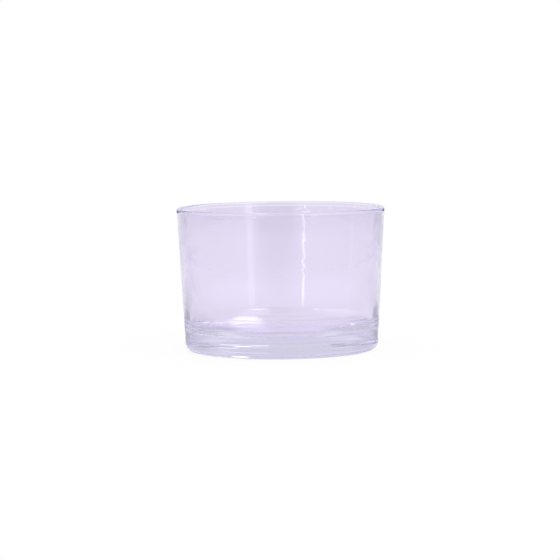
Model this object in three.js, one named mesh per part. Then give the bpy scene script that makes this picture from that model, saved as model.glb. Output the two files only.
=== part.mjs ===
// Low votive holder, a single pressed vessel of clear glass: a flared thin wall with a
// fire-polished lip on a thick solid base, hollowed a little underneath so that it stands on a ring.
// Millimetres, +Z up. The origin is the centre of the ring that it stands on.

import * as THREE from "three";

// Outside of the vessel
const rimDiameter = 90; // across the outside of the lip
const bodyHeight = 62; // standing ring to the top of the lip
const footDiameter = 83.2; // where the outside line of the wall meets the table
const heelRadius = 3.6; // between the wall and the standing ring

// Wall and lip
const wallAtLip = 1.9; // up to the widest part of the lip
const wallAtFloor = 2.6; // at the level of the candle floor
const lipHeight = 8; // top part of the wall, which leans out a little more than the rest
const lipLean = THREE.MathUtils.degToRad(4.3); // out from the vertical
const lipBlendRadius = 60; // where the lip runs into the wall
const lipTaper = THREE.MathUtils.degToRad(7.4); // its outside leans in from the vertical near the top
const lipTaperHeight = 1.7; // from the widest part of the lip to its top
const lipTaperRadius = 6; // at the widest part
const lipEdgeRadius = 0.8; // both edges of the lip

// Base
const floorThickness = 8.7; // table to candle floor
const floorCornerRadius = 6.3; // between the candle floor and the wall
const ringWidth = 5; // flat part of the ring that it stands on
const hollowDepth = 1.8; // height of the hollow inside the ring
const hollowWallRun = 3; // how far the side of the hollow slopes inwards
const hollowEdgeRadius = 1.2; // edge between the ring and the hollow
const hollowCornerRadius = 5; // between the side of the hollow and its roof

// Smoothness of the curves
const stepsAround = 96;
const arcStepAngle = THREE.MathUtils.degToRad(15);
const weldDistance = 0.01; // points of the section closer than this are one point

// The half-section as sharp corners (x is the radius, y the height), each with its rounding.
// It runs from the axis under the base, up the outside, over the lip and down to the floor.
function sectionCorners() {
  // The sharp corner lies a little outside of the rim, because its rounding has to reach the rim.
  const roundedOff = Math.cos((lipTaper - lipLean) / 2) / Math.cos((lipTaper + lipLean) / 2) - 1;
  const widest = rimDiameter / 2 + lipTaperRadius * roundedOff;
  const widestHeight = bodyHeight - lipTaperHeight;
  const topOutside = widest - Math.tan(lipTaper) * lipTaperHeight;
  const topInside = widest + Math.tan(lipLean) * lipTaperHeight - wallAtLip;

  const footRadius = footDiameter / 2;
  const wallTop = bodyHeight - lipHeight;
  const outsideAtTop = widest - Math.tan(lipLean) * (widestHeight - wallTop);
  const wallSlope = (outsideAtTop - footRadius) / wallTop;
  const insideAtFloor = footRadius + wallSlope * floorThickness - wallAtFloor;

  const ringInside = footRadius - heelRadius - ringWidth;
  const hollowRoof = ringInside - hollowWallRun;

  const corner = (x, y, rounding = 0) => ({ point: new THREE.Vector2(x, y), rounding });
  return [
    corner(0, hollowDepth),
    corner(hollowRoof, hollowDepth, hollowCornerRadius),
    corner(ringInside, 0, hollowEdgeRadius),
    corner(footRadius, 0, heelRadius),
    corner(outsideAtTop, wallTop, lipBlendRadius),
    corner(widest, widestHeight, lipTaperRadius),
    corner(topOutside, bodyHeight, lipEdgeRadius),
    corner(topInside, bodyHeight, lipEdgeRadius),
    corner(outsideAtTop - wallAtLip, wallTop, lipBlendRadius),
    corner(insideAtFloor, floorThickness, floorCornerRadius),
    corner(0, floorThickness),
  ];
}

// How far from its corner a rounding would touch the two sides, with room for all of it.
function wantedReach({ point, rounding }, before, after) {
  if (rounding === 0) return 0;
  const back = before.point.clone().sub(point);
  const ahead = after.point.clone().sub(point);
  return rounding / Math.tan(back.angleTo(ahead) / 2);
}

// The reach of every rounding. Two that share a side too short for both give way in proportion.
function fittedReaches(corners) {
  const wanted = corners.map((corner, i) => wantedReach(corner, corners[i - 1], corners[i + 1]));
  const fitted = [...wanted];
  for (let i = 1; i < corners.length; i += 1) {
    const side = corners[i].point.distanceTo(corners[i - 1].point);
    const share = Math.min(1, side / (wanted[i - 1] + wanted[i]));
    fitted[i - 1] = Math.min(fitted[i - 1], wanted[i - 1] * share);
    fitted[i] = Math.min(fitted[i], wanted[i] * share);
  }
  return fitted;
}

// The points of the arc that rounds a corner and touches both sides at the given reach.
function cornerArc(point, before, after, reach) {
  const back = before.clone().sub(point).setLength(reach);
  const ahead = after.clone().sub(point).setLength(reach);
  const centreDistance = reach / Math.cos(back.angleTo(ahead) / 2);
  const centre = back.clone().add(ahead).setLength(centreDistance).add(point);
  const start = back.add(point).sub(centre);
  const end = ahead.add(point).sub(centre);
  const turn = Math.atan2(start.cross(end), start.dot(end));
  const steps = Math.max(2, Math.ceil(Math.abs(turn) / arcStepAngle));
  const pivot = new THREE.Vector2();
  return Array.from({ length: steps + 1 }, (_, step) =>
    start.clone().rotateAround(pivot, (turn * step) / steps).add(centre),
  );
}

// The outline with its corners rounded.
function roundedOutline(corners) {
  const reaches = fittedReaches(corners);
  const points = corners.flatMap(({ point }, i) =>
    reaches[i] > 0
      ? cornerArc(point, corners[i - 1].point, corners[i + 1].point, reaches[i])
      : [point],
  );
  return points.filter((point, i) => i === 0 || point.distanceTo(points[i - 1]) > weldDistance);
}

// The vessel: its half-section turned round the vertical axis.
function vesselGeometry() {
  const geometry = new THREE.LatheGeometry(roundedOutline(sectionCorners()), stepsAround);
  geometry.rotateX(Math.PI / 2); // a lathe turns round Y, and the vessel stands along Z
  return geometry;
}

const clearGlass = new THREE.MeshStandardMaterial({
  color: 0xe6def5,
  roughness: 0.03,
  metalness: 0,
  transparent: true,
  opacity: 0.35,
});

const vessel = new THREE.Mesh(vesselGeometry(), clearGlass);
vessel.name = "glass_vessel";

const votiveHolder = new THREE.Group();
votiveHolder.add(vessel);

export default votiveHolder;
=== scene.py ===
import math

import bpy
from mathutils import Matrix, Vector


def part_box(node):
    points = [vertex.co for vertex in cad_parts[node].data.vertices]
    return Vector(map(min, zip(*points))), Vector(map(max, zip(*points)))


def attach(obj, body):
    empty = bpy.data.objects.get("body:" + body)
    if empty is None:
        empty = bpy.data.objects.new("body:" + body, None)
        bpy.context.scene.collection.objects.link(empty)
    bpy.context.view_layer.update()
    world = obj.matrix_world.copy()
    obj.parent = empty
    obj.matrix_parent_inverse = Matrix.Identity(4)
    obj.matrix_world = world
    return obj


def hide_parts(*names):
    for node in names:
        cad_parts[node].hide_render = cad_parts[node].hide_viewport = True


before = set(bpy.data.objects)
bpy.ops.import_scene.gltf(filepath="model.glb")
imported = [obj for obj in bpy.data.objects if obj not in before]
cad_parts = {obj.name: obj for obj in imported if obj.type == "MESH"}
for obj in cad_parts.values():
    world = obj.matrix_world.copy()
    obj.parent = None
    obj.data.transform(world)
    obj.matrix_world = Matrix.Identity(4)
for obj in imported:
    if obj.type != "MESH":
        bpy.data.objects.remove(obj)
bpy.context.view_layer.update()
vesselLow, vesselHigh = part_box("glass_vessel")
print("frame loaded")

# Lengths are in metres, here and below. The rim and the height come from the frame.
vessel = {
    "rimRadius": vesselHigh.x,
    "height": vesselHigh.z,
    "footRadius": 0.0416,
    "heelRadius": 0.0036,
    "wallAtLip": 0.0019,
    "wallAtFloor": 0.0026,
    "lipLean": math.radians(4.3),
    "lipHeight": 0.008,
    "lipBlendRadius": 0.06,
    "lipTaper": math.radians(7.4),
    "lipTaperHeight": 0.0017,
    "lipTaperRadius": 0.006,
    "lipEdgeRadius": 0.0008,
    "floorThickness": 0.0087,
    "floorCornerRadius": 0.0063,
    "ringWidth": 0.005,
    "hollowDepth": 0.0018,
    "hollowWallRun": 0.003,
    "hollowEdgeRadius": 0.0012,
    "hollowCornerRadius": 0.005,
    "stepsAround": 512,
    "arcStep": math.radians(4),
    "fewestArcSteps": 2,
    "longestStep": 0.002,
    "weldDistance": 1e-7,
}
nothing = 1e-9  # a length this short counts as none


# The half-section as sharp corners, each with its rounding: from the axis under the base,
# up the outside, over the lip and down the inside to the floor.
def sectionCorners(v):
    lean, taper = v["lipLean"], v["lipTaper"]
    roundedOff = math.cos((taper - lean) / 2) / math.cos((taper + lean) / 2) - 1
    widest = v["rimRadius"] + v["lipTaperRadius"] * roundedOff
    widestHeight = v["height"] - v["lipTaperHeight"]
    wallTop = v["height"] - v["lipHeight"]
    outsideAtTop = widest - math.tan(lean) * (widestHeight - wallTop)
    topOutside = widest - math.tan(taper) * v["lipTaperHeight"]
    topInside = widest + math.tan(lean) * v["lipTaperHeight"] - v["wallAtLip"]
    wallSlope = (outsideAtTop - v["footRadius"]) / wallTop
    insideAtFloor = v["footRadius"] + wallSlope * v["floorThickness"] - v["wallAtFloor"]
    ringInside = v["footRadius"] - v["heelRadius"] - v["ringWidth"]
    hollowRoof = ringInside - v["hollowWallRun"]
    corners = [
        (0, v["hollowDepth"], 0),
        (hollowRoof, v["hollowDepth"], v["hollowCornerRadius"]),
        (ringInside, 0, v["hollowEdgeRadius"]),
        (v["footRadius"], 0, v["heelRadius"]),
        (outsideAtTop, wallTop, v["lipBlendRadius"]),
        (widest, widestHeight, v["lipTaperRadius"]),
        (topOutside, v["height"], v["lipEdgeRadius"]),
        (topInside, v["height"], v["lipEdgeRadius"]),
        (outsideAtTop - v["wallAtLip"], wallTop, v["lipBlendRadius"]),
        (insideAtFloor, v["floorThickness"], v["floorCornerRadius"]),
        (0, v["floorThickness"], 0),
    ]
    return [(Vector((x, z)), rounding) for x, z, rounding in corners]


# How far along its sides each rounding reaches. Two that share a short side give way in proportion.
def fittedReaches(corners):
    wanted = [0.0] * len(corners)
    for i in range(1, len(corners) - 1):
        point, rounding = corners[i]
        back, ahead = corners[i - 1][0] - point, corners[i + 1][0] - point
        wanted[i] = rounding / math.tan(back.angle(ahead) / 2)
    fitted = list(wanted)
    for i in range(1, len(corners)):
        side = (corners[i][0] - corners[i - 1][0]).length
        share = min(1, side / max(wanted[i - 1] + wanted[i], nothing))
        fitted[i - 1] = min(fitted[i - 1], wanted[i - 1] * share)
        fitted[i] = min(fitted[i], wanted[i] * share)
    return fitted


# Points of the rounded half-section, each with the direction that the glass faces there.
def sectionPoints(v):
    corners = sectionCorners(v)
    reaches = fittedReaches(corners)
    points = []
    for i, (point, _) in enumerate(corners):
        if reaches[i] == 0:
            along = (corners[i + 1][0] - point) if i == 0 else (point - corners[i - 1][0])
            points.append((point, outwardOf(along)))
            continue
        back = (corners[i - 1][0] - point).normalized() * reaches[i]
        ahead = (corners[i + 1][0] - point).normalized() * reaches[i]
        towards = (back + ahead).normalized()
        centre = point + towards * (reaches[i] / math.cos(back.angle(ahead) / 2))
        start, end = point + back - centre, point + ahead - centre
        turn = math.atan2(start.x * end.y - start.y * end.x, start.dot(end))
        steps = max(v["fewestArcSteps"], math.ceil(abs(turn) / v["arcStep"]))
        for step in range(steps + 1):
            spoke = Matrix.Rotation(turn * step / steps, 2) @ start
            points.append((centre + spoke, spoke.normalized() * (1 if turn > 0 else -1)))
    return withLongSidesSplit(points, v)


# The outline runs with the glass on its left, so the outside is on its right.
def outwardOf(along):
    return Vector((along.y, -along.x)).normalized()


# Long straight sides get extra points, and points that fall together become one.
def withLongSidesSplit(points, v):
    kept = [points[0]]
    for point, outward in points[1:]:
        last, lastOutward = kept[-1]
        gap = (point - last).length
        if gap < v["weldDistance"]:
            continue
        parts = math.ceil(gap / v["longestStep"])
        for part in range(1, parts):
            share = part / parts
            kept.append((last.lerp(point, share), lastOutward.lerp(outward, share).normalized()))
        kept.append((point, outward))
    return kept


# Turns the half-section round the vertical axis. The two ends on the axis become single points.
def turnedMesh(name, section, stepsAround):
    verts, normals, faces = [], [], []
    for point, outward in section:
        onAxis = point.x < nothing
        for step in range(1 if onAxis else stepsAround):
            angle = math.tau * step / stepsAround
            c, s = math.cos(angle), math.sin(angle)
            verts.append((point.x * c, point.x * s, point.y))
            normals.append((outward.x * c, outward.x * s, outward.y))
    ringStarts = [1 + i * stepsAround for i in range(len(section) - 2)]
    top = len(verts) - 1
    for step in range(stepsAround):
        ahead = (step + 1) % stepsAround
        faces.append((0, ringStarts[0] + ahead, ringStarts[0] + step))
        for low, high in zip(ringStarts, ringStarts[1:]):
            faces.append((low + step, low + ahead, high + ahead, high + step))
        faces.append((ringStarts[-1] + step, ringStarts[-1] + ahead, top))
    mesh = bpy.data.meshes.new(name)
    mesh.from_pydata(verts, [], faces)
    mesh.shade_smooth()
    mesh.normals_split_custom_set_from_vertices(normals)
    return mesh


vesselMesh = turnedMesh("fine_vessel", sectionPoints(vessel), vessel["stepsAround"])
vesselPiece = bpy.data.objects.new("clear_vessel", vesselMesh)
bpy.context.scene.collection.objects.link(vesselPiece)
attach(vesselPiece, "root")
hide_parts("glass_vessel")
print("vessel built:", len(vesselMesh.vertices), "points")


def newMaterial(name):
    material = bpy.data.materials.new(name)
    material.use_nodes = True
    tree = material.node_tree
    tree.nodes.clear()
    return material, tree, tree.nodes.new("ShaderNodeOutputMaterial")


# A new node group with one output, and the socket that fills it. It may take one number in.
def newGroup(name, output, kind, numberIn=None):
    group = bpy.data.node_groups.new(name, "ShaderNodeTree")
    if numberIn:
        group.interface.new_socket(numberIn, in_out="INPUT", socket_type="NodeSocketFloat")
    group.interface.new_socket(output, in_out="OUTPUT", socket_type=kind)
    return group, group.nodes.new("NodeGroupOutput").inputs[output]


def addGroup(tree, group):
    node = tree.nodes.new("ShaderNodeGroup")
    node.node_tree = group
    return node


# The X, Y and Z of a texture coordinate, as the outputs of one node.
def coordinateParts(tree, coordinate):
    where = tree.nodes.new("ShaderNodeTexCoord")
    parts = tree.nodes.new("ShaderNodeSeparateXYZ")
    tree.links.new(where.outputs[coordinate], parts.inputs[0])
    return parts.outputs


# A Math node, with each input set to a number or linked to a socket.
def mathNode(tree, operation, *values):
    node = tree.nodes.new("ShaderNodeMath")
    node.operation = operation
    for socket, value in zip(node.inputs, values):
        if isinstance(value, (int, float)):
            socket.default_value = value
        else:
            tree.links.new(value, socket)
    return node.outputs[0]


# 1 inside the edge and 0 outside it, with a smooth step that reaches the softness each way.
def insideEdge(tree, distance, edge, soft):
    fade = tree.nodes.new("ShaderNodeMapRange")
    fade.interpolation_type = "SMOOTHSTEP"
    fade.inputs["From Min"].default_value = edge + soft
    fade.inputs["From Max"].default_value = edge - soft
    tree.links.new(distance, fade.inputs["Value"])
    return fade.outputs["Result"]


plainWhite = (1, 1, 1, 1)
colourA, colourB, colourResult = 6, 7, 2  # the colour sockets of a Mix node, which share their names


# The first colour where the share is 0, and the second where it is 1. Each is a colour or a socket.
def mixedColour(tree, share, first, second):
    mix = tree.nodes.new("ShaderNodeMix")
    mix.data_type = "RGBA"
    tree.links.new(share, mix.inputs["Factor"])
    for socket, colour in ((mix.inputs[colourA], first), (mix.inputs[colourB], second)):
        if isinstance(colour, tuple):
            socket.default_value = colour
        else:
            tree.links.new(colour, socket)
    return mix.outputs[colourResult]


glass = {
    "tints": [  # each at its height, with a smooth run from one to the next
        (0.0060, (0.945, 0.915, 0.99, 1)),
        (0.0085, (0.885, 0.85, 0.955, 1)),
        (0.0500, (0.885, 0.85, 0.955, 1)),
        (0.0570, (0.86, 0.82, 0.935, 1)),
        (0.0602, (0.86, 0.82, 0.935, 1)),
        (0.0608, (0.86, 0.825, 0.905, 1)),
    ],
    "roughness": 0.0,
    "ior": 1.5,
    "depthColour": (0.64, 0.63, 0.84, 1),
    "depthDensity": 10,
    "waveScale": 220,
    "waveDetail": 1.5,
    "waveHeight": 0.00003,
    "rippleAcross": (0.0065, 0.014),
    "rippleFoot": 0.012,
    "rippleScale": 450,
    "rippleDetail": 1,
    "rippleSlope": 0.06,
}


# Faint waves in the skin of pressed glass, and a line down the back wall that leans to and fro.
def wavyGlassGroup():
    group, normalOut = newGroup("wavy glass", "Normal", "NodeSocketVector")

    def noise(scale, detail):
        node = group.nodes.new("ShaderNodeTexNoise")
        node.inputs["Scale"].default_value = scale
        node.inputs["Detail"].default_value = detail
        return node

    where = group.nodes.new("ShaderNodeTexCoord")
    waves = noise(glass["waveScale"], glass["waveDetail"])
    group.links.new(where.outputs["Object"], waves.inputs["Vector"])

    # Across the line the skin is a slope that changes with the height and dies away at the sides.
    parts = coordinateParts(group, "Object")
    low, high = glass["rippleAcross"]
    across = mathNode(group, "SUBTRACT", parts["X"], (low + high) / 2)
    share = mathNode(group, "DIVIDE", across, (high - low) / 2)
    fade = mathNode(group, "SUBTRACT", 1, mathNode(group, "MULTIPLY", share, share))
    fade = mathNode(group, "MAXIMUM", fade, 0)
    leaning = noise(glass["rippleScale"], glass["rippleDetail"])
    leaning.noise_dimensions = "1D"
    group.links.new(parts["Z"], leaning.inputs["W"])
    middleOfNoise = 0.5
    lean = mathNode(group, "SUBTRACT", leaning.outputs["Fac"], middleOfNoise)
    lean = mathNode(group, "MULTIPLY", across, lean)
    lean = mathNode(group, "MULTIPLY", lean, mathNode(group, "MULTIPLY", fade, fade))
    onBackWall = mathNode(group, "MULTIPLY",
                          mathNode(group, "GREATER_THAN", parts["Y"], 0),
                          mathNode(group, "GREATER_THAN", parts["Z"], glass["rippleFoot"]))

    normal = None
    for height, distance, mask in (
        (waves.outputs["Fac"], glass["waveHeight"], None),
        (lean, glass["rippleSlope"], onBackWall),
    ):
        bump = group.nodes.new("ShaderNodeBump")
        bump.inputs["Distance"].default_value = distance
        group.links.new(height, bump.inputs["Height"])
        if mask:
            group.links.new(mask, bump.inputs["Strength"])
            group.links.new(normal, bump.inputs["Normal"])
        normal = bump.outputs["Normal"]
    group.links.new(normal, normalOut)
    return group


# The colour of the glass, deeper in the wall than in the foot and deepest at the lip.
def lilacGroup():
    group, colourOut = newGroup("lilac by height", "Color", "NodeSocketColor")
    share = group.nodes.new("ShaderNodeMapRange")
    share.inputs["From Max"].default_value = vessel["height"]
    group.links.new(coordinateParts(group, "Object")["Z"], share.inputs["Value"])
    ramp = group.nodes.new("ShaderNodeValToRGB")
    ramp.color_ramp.interpolation = "EASE"
    stops = ramp.color_ramp.elements
    halfway = 0.5  # where a new stop starts, until it gets its place
    while len(stops) < len(glass["tints"]):
        stops.new(halfway)
    for stop, (height, tint) in zip(stops, glass["tints"]):
        stop.position = height / vessel["height"]
        stop.color = tint
    group.links.new(share.outputs["Result"], ramp.inputs["Fac"])
    group.links.new(ramp.outputs["Color"], colourOut)
    return group


def clearGlass():
    material, tree, output = newMaterial("clear glass")
    shader = tree.nodes.new("ShaderNodeBsdfPrincipled")
    shader.inputs["Roughness"].default_value = glass["roughness"]
    shader.inputs["IOR"].default_value = glass["ior"]
    shader.inputs["Transmission Weight"].default_value = 1
    lilac = addGroup(tree, lilacGroup())
    tree.links.new(lilac.outputs["Color"], shader.inputs["Base Color"])
    waves = addGroup(tree, wavyGlassGroup())
    tree.links.new(waves.outputs["Normal"], shader.inputs["Normal"])
    tree.links.new(shader.outputs["BSDF"], output.inputs["Surface"])
    depth = tree.nodes.new("ShaderNodeVolumeAbsorption")
    depth.inputs["Color"].default_value = glass["depthColour"]
    depth.inputs["Density"].default_value = glass["depthDensity"]
    tree.links.new(depth.outputs["Volume"], output.inputs["Volume"])
    return material


vesselPiece.data.materials.append(clearGlass())
print("glass finished")

# Tints of the light in the studio and of the shade and light painted on the floor, as shares of red, green
# and blue.
lilac = (1, 0.97, 1.06)
deepShadeLilac = (1, 0.95, 1.15)
horizonLilac = (1.01, 0.967, 1.09)
footShadeLilac = (1, 0.98, 1.12)
candleFloorLightLilac = (1, 0.985, 1.05)

# The floor's painted shade and painted light are soft ovals, and a later one lies over an earlier one
# where they meet.
floor = {
    "radius": 0.35,
    "stepsAround": 64,
    "shadowSeen": 0.08,
    "shadowInGlass": 0.15,
    "paintedShadeAndLight": [
        # Painted shade behind the vessel on both sides, seen through the sides of the wall
        {"centre": (-0.165, 0.2), "half": (0.085, 0.14), "soft": 0.35, "level": 0.87, "tint": lilac},
        {"centre": (0.165, 0.2), "half": (0.085, 0.14), "soft": 0.35, "level": 0.86, "tint": lilac},
        {"centre": (-0.125, 0.12), "half": (0.05, 0.06), "soft": 0.4, "level": 0.72, "tint": lilac},
        {"centre": (0.125, 0.12), "half": (0.05, 0.06), "soft": 0.4, "level": 0.8, "tint": lilac},
        # Painted shade beside the vessel, mirrored in the ends of the base
        {"centre": (-0.079, 0.084), "half": (0.022, 0.033), "soft": 0.4, "level": 0.3,
         "tint": deepShadeLilac, "mirroredOnly": True},
        {"centre": (0.083, 0.082), "half": (0.021, 0.036), "soft": 0.4, "level": 0.3,
         "tint": deepShadeLilac, "mirroredOnly": True},
        {"centre": (-0.072, 0.028), "half": (0.026, 0.028), "soft": 0.4, "level": 0.5,
         "tint": deepShadeLilac, "mirroredOnly": True},
        {"centre": (0.07, 0.026), "half": (0.024, 0.026), "soft": 0.4, "level": 0.45,
         "tint": deepShadeLilac, "mirroredOnly": True},
        {"centre": (-0.115, 0.01), "half": (0.03, 0.045), "soft": 0.4, "level": 0.4, "mirroredOnly": True},
        {"centre": (0.115, 0), "half": (0.03, 0.035), "soft": 0.4, "level": 0.7, "mirroredOnly": True},
        # Painted shade and painted light close behind the vessel
        {"centre": (-0.01, 0.09), "half": (0.03, 0.05), "soft": 0.4, "level": 0.95},
        {"centre": (0.036, 0.085), "half": (0.016, 0.035), "soft": 0.5, "level": 1.1},
        # Under the vessel: its painted lilac shadow, with painted light in the middle and painted shade
        # under the foot
        {"centre": (0, 0), "half": (0.044, 0.044), "soft": 0.1, "level": 0.97, "tint": (1, 0.98, 1.08)},
        {"centre": (0, -0.006), "half": (0.022, 0.016), "soft": 0.4, "level": 1.07,
         "tint": candleFloorLightLilac},
        {"centre": (-0.006, 0.018), "half": (0.027, 0.01), "soft": 0.4, "level": 1.08,
         "tint": candleFloorLightLilac},
        {"centre": (-0.032, -0.01), "half": (0.012, 0.016), "soft": 0.4, "level": 0.69, "tint": footShadeLilac},
        {"centre": (0.032, -0.012), "half": (0.012, 0.017), "soft": 0.4, "level": 0.73, "tint": footShadeLilac},
        {"centre": (0, -0.033), "half": (0.024, 0.009), "soft": 0.3, "level": 0.78,
         "tint": (1, 0.97, 1.14)},
        # Painted shade in front of the vessel, mirrored in its back wall
        {"centre": (-0.015, -0.15), "half": (0.07, 0.07), "soft": 0.4, "level": 0.85},
        {"centre": (-0.02, -0.31), "half": (0.11, 0.1), "soft": 0.4, "level": 0.1, "mirroredOnly": True},
        # Painted light behind the vessel, seen low in the wall
        {"centre": (-0.014, 0.068), "half": (0.009, 0.009), "soft": 0.4, "level": 1.05},
        {"centre": (-0.031, 0.25), "half": (0.02, 0.06), "soft": 0.5, "level": 1.06},
        {"centre": (0.032, 0.25), "half": (0.024, 0.06), "soft": 0.5, "level": 1.06},
        # A painted thin dark line, a painted caustic for the bright patch on the candle floor, and two
        # painted glints for two short bright dashes
        {"centre": (0.016, 0.0415), "half": (0.025, 0.004), "soft": 0.4, "level": 0.92,
         "tint": (1, 0.98, 1.05)},
        {"centre": (-0.016, 0.031), "half": (0.0074, 0.024), "soft": 0.35, "level": 1.6},
        {"centre": (-0.0155, 0.0403), "half": (0.012, 0.0014), "soft": 0.4, "level": 1},
        {"centre": (-0.012, 0.1), "half": (0.004, 0.007), "soft": 0.3, "level": 1.45},
        {"centre": (0.0175, 0.1), "half": (0.0015, 0.007), "soft": 0.4, "level": 1.5},
    ],
}


def lightOf(patch):
    return tuple(patch["level"] * share for share in patch.get("tint", plainWhite[:3])) + (1,)


# 1 where the light was mirrored at least once on its way, otherwise 0. Painted shade on the floor and dark
# patches of the tent that the glass mirrors to the camera use it, so that it isn't smoky where one looks
# straight through at them.
def mirroredShare(tree, path):
    return mathNode(tree, "GREATER_THAN", path.outputs["Glossy Depth"], 0)


# How bright each place of the floor looks in the glass: white, but for its painted shade and painted
# light.
def floorPaintedShadeAndLightGroup():
    group, colourOut = newGroup("floor tones", "Color", "NodeSocketColor", "Mirrored")
    mirrored = group.nodes.new("NodeGroupInput").outputs["Mirrored"]
    where = group.nodes.new("ShaderNodeTexCoord")
    colour = plainWhite
    # Each oval of painted shade or painted light lies over the colour so far.
    for paintedPatch in floor["paintedShadeAndLight"]:
        (x, y), (halfX, halfY) = paintedPatch["centre"], paintedPatch["half"]
        place = group.nodes.new("ShaderNodeMapping")
        place.inputs["Location"].default_value = (-x / halfX, -y / halfY, 0)
        place.inputs["Scale"].default_value = (1 / halfX, 1 / halfY, 1)
        group.links.new(where.outputs["Object"], place.inputs["Vector"])
        distance = group.nodes.new("ShaderNodeVectorMath")
        distance.operation = "LENGTH"
        group.links.new(place.outputs["Vector"], distance.inputs[0])
        mask = insideEdge(group, distance.outputs["Value"], 1, paintedPatch["soft"])
        if paintedPatch.get("mirroredOnly"):
            mask = mathNode(group, "MULTIPLY", mask, mirrored)
        colour = mixedColour(group, mask, colour, lightOf(paintedPatch))
    group.links.new(colour, colourOut)
    return group


# White to the camera but for a faint shadow, and with its painted shade and painted light in the glass.
def paleFloor():
    material, tree, output = newMaterial("pale floor")
    matt = tree.nodes.new("ShaderNodeBsdfDiffuse")
    matt.inputs["Color"].default_value = plainWhite
    path = tree.nodes.new("ShaderNodeLightPath")
    paintedShadeAndLight = addGroup(tree, floorPaintedShadeAndLightGroup())
    tree.links.new(mirroredShare(tree, path), paintedShadeAndLight.inputs["Mirrored"])
    bright = tree.nodes.new("ShaderNodeEmission")
    seen = mixedColour(tree, path.outputs["Is Camera Ray"], paintedShadeAndLight.outputs["Color"], plainWhite)
    tree.links.new(seen, bright.inputs["Color"])

    # The matt floor takes the shadow, so its share is how strongly the shadow shows.
    inGlass = mathNode(tree, "MAXIMUM", path.outputs["Is Glossy Ray"], path.outputs["Is Transmission Ray"])
    glassShare = mathNode(tree, "MULTIPLY", inGlass, 1 - floor["shadowInGlass"])
    brightShare = mathNode(tree, "MULTIPLY_ADD", path.outputs["Is Camera Ray"],
                           1 - floor["shadowSeen"], glassShare)
    mix = tree.nodes.new("ShaderNodeMixShader")
    tree.links.new(brightShare, mix.inputs["Fac"])
    tree.links.new(matt.outputs["BSDF"], mix.inputs[1])
    tree.links.new(bright.outputs["Emission"], mix.inputs[2])
    tree.links.new(mix.outputs["Shader"], output.inputs["Surface"])
    return material


def floorDisc(radius, steps):
    angles = [math.tau * step / steps for step in range(steps)]
    rim = [(radius * math.cos(angle), radius * math.sin(angle), 0) for angle in angles]
    mesh = bpy.data.meshes.new("floor_disc")
    mesh.from_pydata(rim, [], [tuple(range(steps))])
    return mesh


floorPiece = bpy.data.objects.new("floor", floorDisc(floor["radius"], floor["stepsAround"]))
bpy.context.scene.collection.objects.link(floorPiece)
floorPiece.data.materials.append(paleFloor())
print("floor laid")

# Degrees, as seen from the vessel: azimuth 0 is towards the camera and grows to its right. Each
# patch has its softness in azimuth and in elevation, and lies over the earlier ones.
tent = {
    "patches": [
        # The top of the tent, and its two sides
        {"azimuth": (-180, 180), "elevation": (50, 110), "soft": (1, 8), "level": 1.4},
        {"azimuth": (60, 150), "elevation": (-90, 90), "soft": (15, 1), "level": 0.8},
        {"azimuth": (-150, -60), "elevation": (-90, 90), "soft": (15, 1), "level": 0.8},
        # The back wall, and the horizon behind the lip
        {"azimuth": (150, 210), "elevation": (0, 32), "soft": (8, 2), "level": 0.91},
        {"azimuth": (158, 202), "elevation": (-3.6, -1), "soft": (8, 0.12), "level": 0.86,
         "tint": horizonLilac},
        {"azimuth": (158, 202), "elevation": (-14, -6.1), "soft": (8, 0.4), "level": 0.9,
         "tint": horizonLilac},
        {"azimuth": (-160, -130), "elevation": (-10, -3), "soft": (2, 0.5), "level": 0.78, "tint": lilac},
        {"azimuth": (130, 160), "elevation": (-10, -3), "soft": (2, 0.5), "level": 0.72, "tint": lilac},
        # Dark places on the horizon, seen in the ends of the lip and of the base
        {"azimuth": (-116, -95), "elevation": (-3.5, 0.5), "soft": (2, 0.5), "level": 0.7},
        {"azimuth": (95, 116), "elevation": (-3.5, 0.5), "soft": (2, 0.5), "level": 0.75},
        {"azimuth": (-170, -152), "elevation": (-3.2, -0.2), "soft": (2, 0.3), "level": 0.1},
        {"azimuth": (152, 170), "elevation": (-3.2, -0.2), "soft": (2, 0.3), "level": 0.1},
        # A less blue place behind, seen in the lowest rows of the base
        {"azimuth": (168, 192), "elevation": (3, 9.5), "soft": (4, 0.6), "level": 0.92,
         "tint": (1, 1, 0.96)},
        # The dark camera side, mirrored in the back wall
        {"azimuth": (-24, 14), "elevation": (-17, -5), "soft": (9, 1.5), "level": 0.05,
         "mirroredOnly": True},
        {"azimuth": (-17, 26), "elevation": (3.2, 60), "soft": (8, 1.5), "level": 0.1,
         "mirroredOnly": True},
        # Lamps. The narrow first one makes the ragged strip, and the next the soft strip on the left.
        {"azimuth": (-29.2, -26.8), "elevation": (-5, 3.8), "soft": (0.6, 0.5), "level": 6},
        {"azimuth": (34, 42), "elevation": (-5, 12), "soft": (2, 2), "level": 2.2},
        {"azimuth": (16, 59), "elevation": (12, 50), "soft": (3, 2), "level": 2},
        {"azimuth": (-98, -96), "elevation": (-5, 8), "soft": (0.6, 1), "level": 2},
        # Short bright and dark lines low in the base
        {"azimuth": (157, 165), "elevation": (20.5, 29), "soft": (1.5, 1), "level": 2.6},
        {"azimuth": (151, 162), "elevation": (9.5, 12.5), "soft": (1.5, 1), "level": 1.5},
        {"azimuth": (166, 175), "elevation": (14, 17.5), "soft": (1.5, 1), "level": 1.7},
        {"azimuth": (120, 142), "elevation": (10.5, 15), "soft": (2, 1), "level": 0.5},
        {"azimuth": (-158, -149), "elevation": (12, 20), "soft": (1, 1), "level": 0.55},
    ],
}


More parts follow.
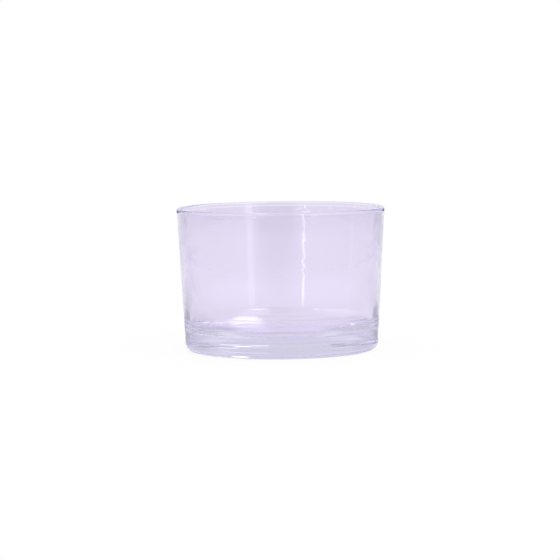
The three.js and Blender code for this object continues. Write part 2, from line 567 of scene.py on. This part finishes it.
# White to the camera, and in the glass white but for its patches.
def tentWorld():
    world = bpy.data.worlds.new("studio tent")
    world.use_nodes = True
    tree = world.node_tree
    tree.nodes.clear()
    output = tree.nodes.new("ShaderNodeOutputWorld")
    background = tree.nodes.new("ShaderNodeBackground")
    parts = coordinateParts(tree, "Generated")
    azimuth = mathNode(tree, "ARCTAN2", parts["X"], mathNode(tree, "MULTIPLY", parts["Y"], -1))
    elevation = mathNode(tree, "ARCSINE", parts["Z"])

    def inside(angle, ends, soft):
        low, high = ends
        off = mathNode(tree, "SUBTRACT", angle, math.radians((low + high) / 2))
        # Ping-pong over half a turn gives the shorter way round.
        off = mathNode(tree, "PINGPONG", off, math.pi)
        return insideEdge(tree, off, math.radians((high - low) / 2), math.radians(soft))

    path = tree.nodes.new("ShaderNodeLightPath")
    mirrored = mirroredShare(tree, path)
    light = plainWhite
    for patch in tent["patches"]:
        softAcross, softUp = patch["soft"]
        mask = mathNode(tree, "MULTIPLY",
                        inside(azimuth, patch["azimuth"], softAcross),
                        inside(elevation, patch["elevation"], softUp))
        if patch.get("mirroredOnly"):
            mask = mathNode(tree, "MULTIPLY", mask, mirrored)
        light = mixedColour(tree, mask, light, lightOf(patch))
    seen = mixedColour(tree, path.outputs["Is Camera Ray"], light, plainWhite)
    tree.links.new(seen, background.inputs["Color"])
    tree.links.new(background.outputs["Background"], output.inputs["Surface"])
    return world


bpy.context.scene.world = tentWorld()
print("tent lit")

camera = {
    "distance": 1.2,
    "pitch": math.radians(4.88),
    "roll": math.radians(-0.6),
    "aim": Vector((-0.00052, 0, vesselHigh.z / 2 - 0.00074)),
    "focalPixels": 2768,
    "imagePixels": 560,
    "sensor": 36,
    "nearest": 0.01,
    "farthest": 20,
}


def photoCamera():
    data = bpy.data.cameras.new("photo camera")
    data.sensor_width = camera["sensor"]
    data.lens = camera["focalPixels"] * camera["sensor"] / camera["imagePixels"]
    data.clip_start, data.clip_end = camera["nearest"], camera["farthest"]
    view = bpy.data.objects.new("photo camera", data)
    bpy.context.scene.collection.objects.link(view)
    back = Vector((0, -math.cos(camera["pitch"]), math.sin(camera["pitch"])))
    view.location = camera["aim"] + back * camera["distance"]
    level = (-back).to_track_quat("-Z", "Y").to_matrix()
    view.rotation_euler = (level @ Matrix.Rotation(camera["roll"], 3, "Z")).to_euler()
    return view


bpy.context.scene.camera = photoCamera()

bpy.context.scene.view_settings.view_transform = "Standard"

# With fewer bounces the lip gets a black ring, because light goes round in it for long.
bounceLimit = 128
cycles = bpy.context.scene.cycles
cycles.max_bounces = bounceLimit
cycles.transmission_bounces = bounceLimit
cycles.glossy_bounces = bounceLimit
